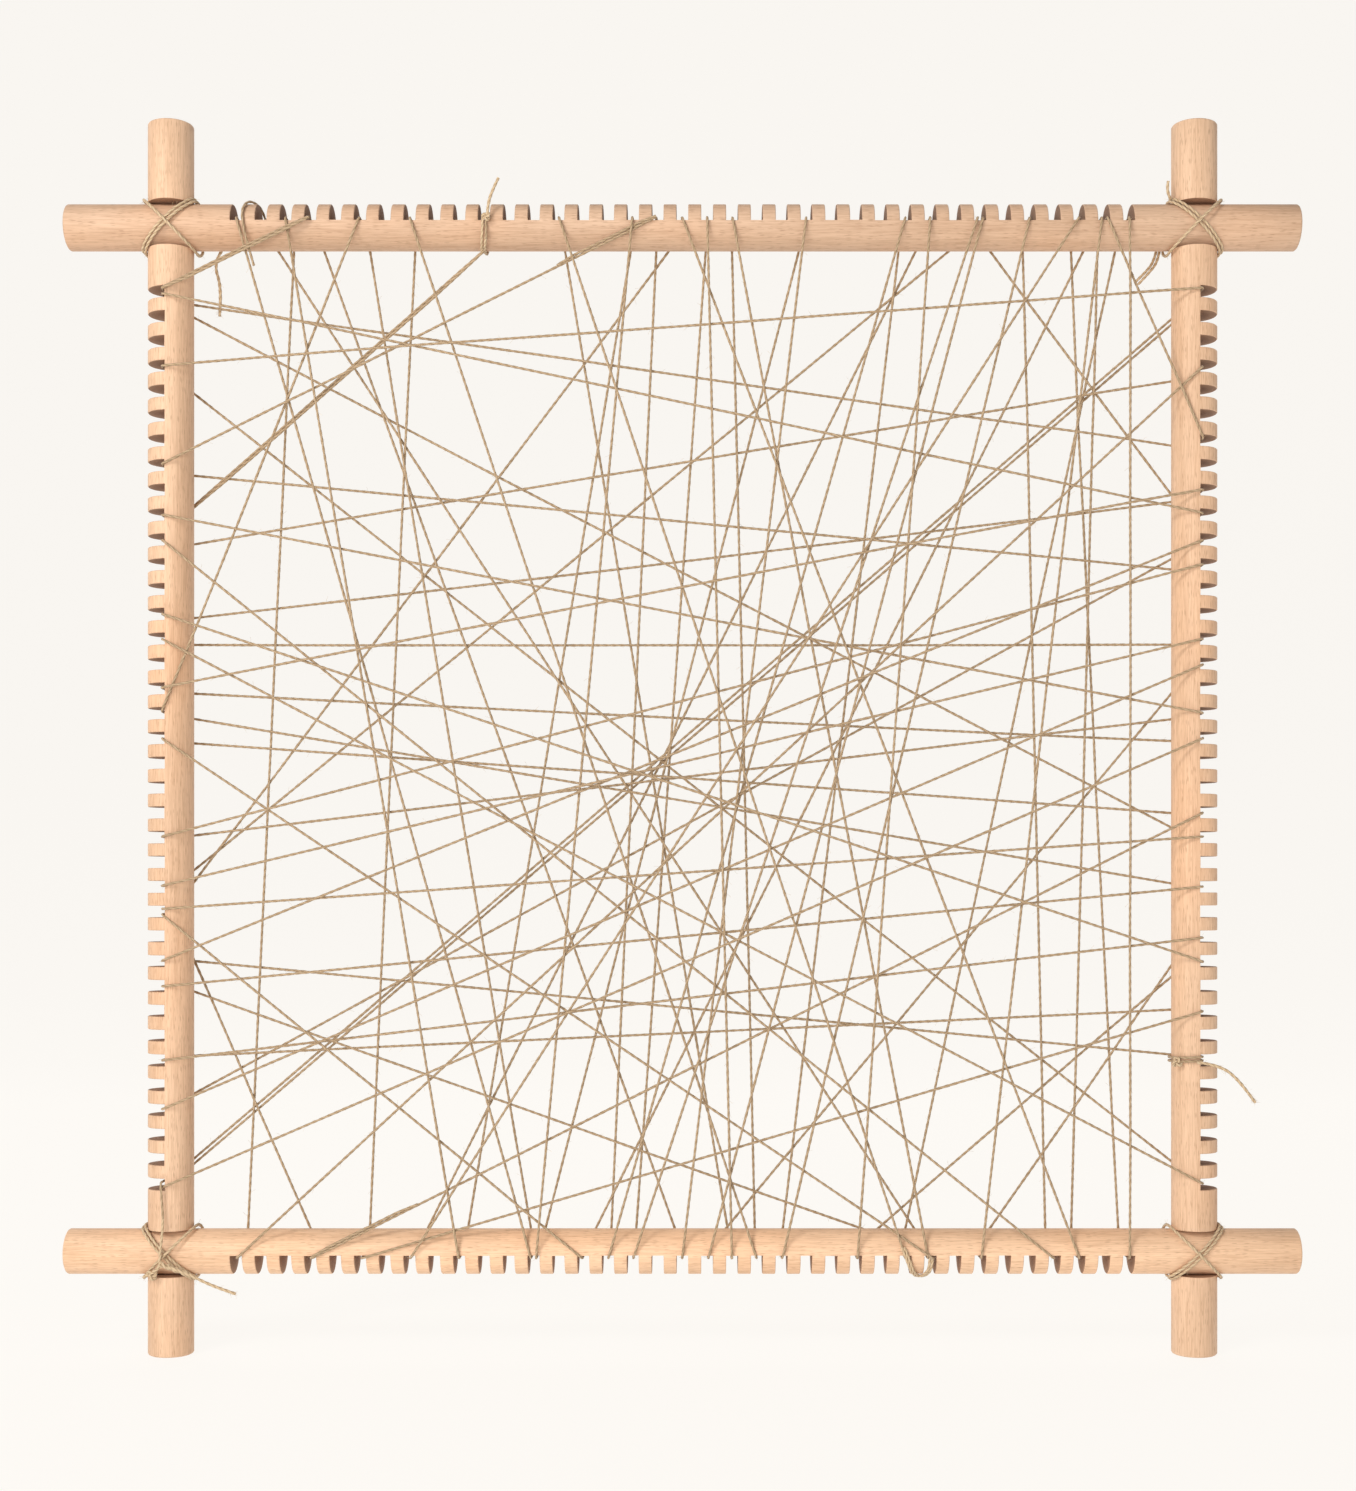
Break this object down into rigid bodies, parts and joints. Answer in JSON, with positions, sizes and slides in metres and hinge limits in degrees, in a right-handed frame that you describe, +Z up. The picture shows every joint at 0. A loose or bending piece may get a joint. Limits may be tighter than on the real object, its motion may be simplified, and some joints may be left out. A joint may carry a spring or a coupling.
{
  "type": "tapestry frame loom",
  "caption": "Square frame loom of notched dowels, half-lapped and lashed with twine at the corners, wound with a crossing warp.",
  "frame": {"origin": "under the middle of the loom, level with the lower ends of the stiles, in the plane of the dowels' axes", "axes": "+Z up along the stiles, +X to the weaver's right along the rails, -Y towards the weaver, on whose side the rails run unbroken across the joints"},
  "size_m": [0.6, 0.0397, 0.6],
  "materials": {
    "beech": "satin",
    "twine": "matte"
  },
  "bodies": {
    "root": {"top_rail": "beech", "bottom_rail": "beech", "left_stile": "beech", "right_stile": "beech", "warp_first": "twine", "warp_second": "twine", "warp_third": "twine", "lashing_top_left": "twine", "lashing_top_right": "twine", "lashing_bottom_left": "twine", "lashing_bottom_right": "twine", "tail_start": "twine", "tail_stile": "twine", "tail_corner": "twine"}
  },
  "joints": []
}
